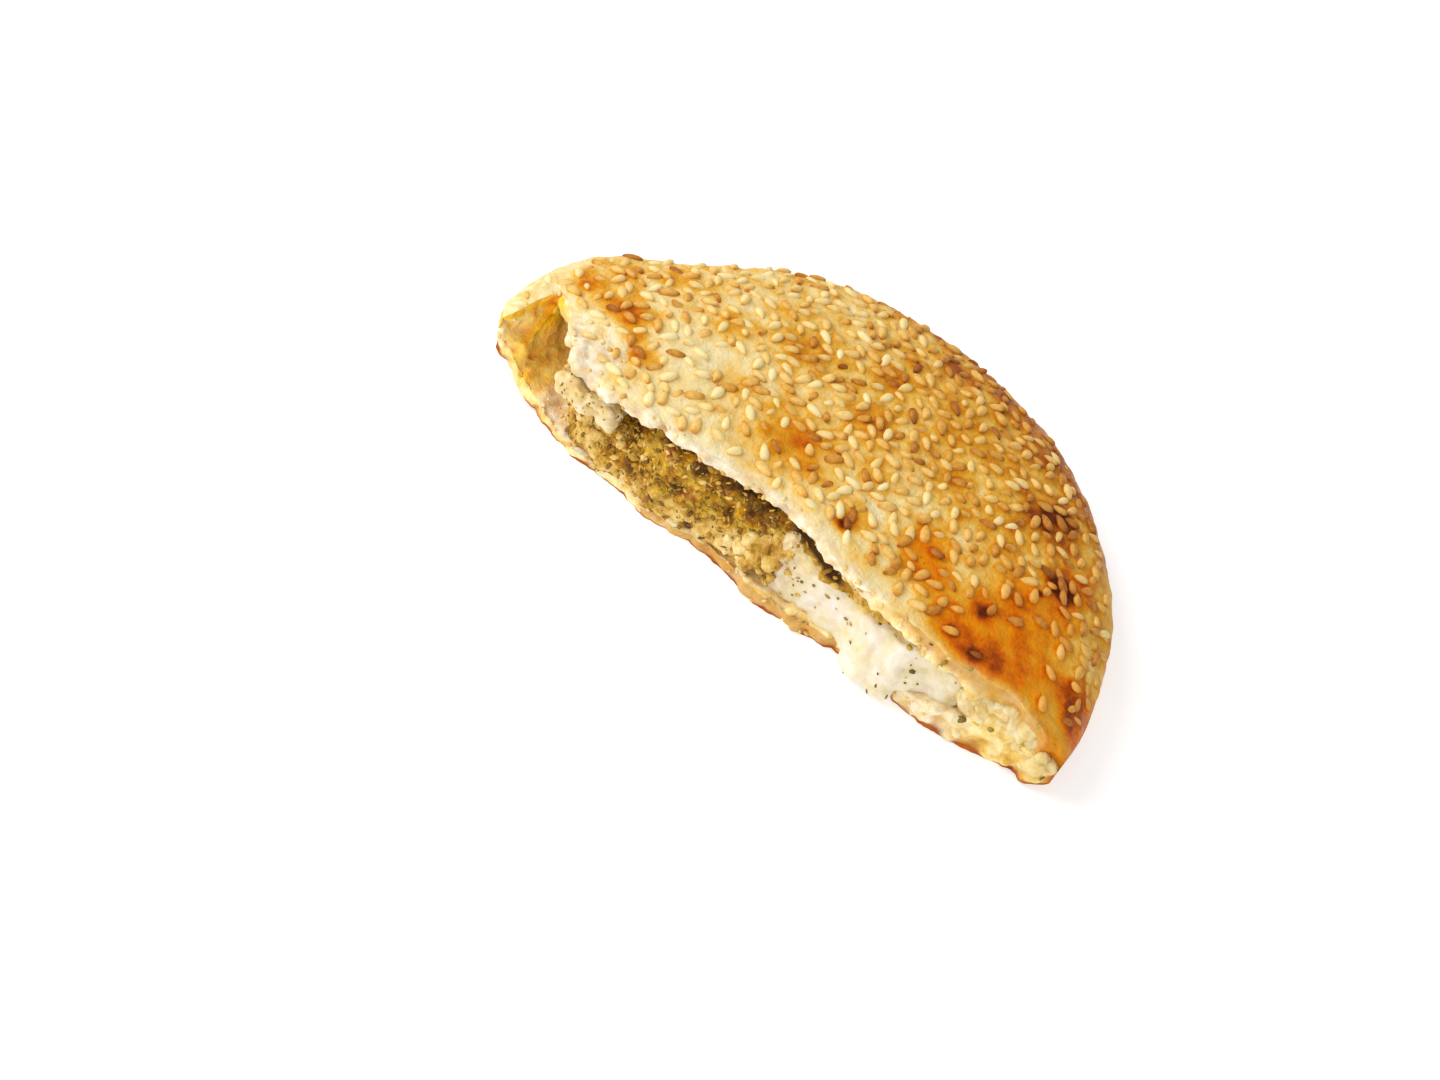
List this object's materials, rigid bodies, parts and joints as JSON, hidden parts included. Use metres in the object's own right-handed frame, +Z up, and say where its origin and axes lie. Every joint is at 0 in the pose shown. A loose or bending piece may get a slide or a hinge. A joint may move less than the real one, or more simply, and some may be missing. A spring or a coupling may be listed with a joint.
{
  "type": "halloumi pie",
  "caption": "Half of a round stuffed flatbread, torn across: a domed, browned, seeded top crust over a pocket with white cheese and green herb filling, and a flat base.",
  "frame": {"origin": "middle of the footprint, on the plane of the flat underside", "axes": "+X along the torn side towards its closed end, +Y from the torn side to the round rim, +Z up through the domed crust"},
  "size_m": [0.12, 0.0698, 0.02],
  "materials": {
    "crust": "baked wheat dough, pale cream with golden to brown patches, slightly glossy, with sesame seeds",
    "cheese": "soft white halloumi, moist",
    "zaatar": "dried herbs and seeds bound with oil, coarse and matte"
  },
  "bodies": {
    "root": {"bread": "crust", "cheese": "cheese", "cheese_lump": "cheese", "zaatar": "zaatar"}
  },
  "joints": []
}
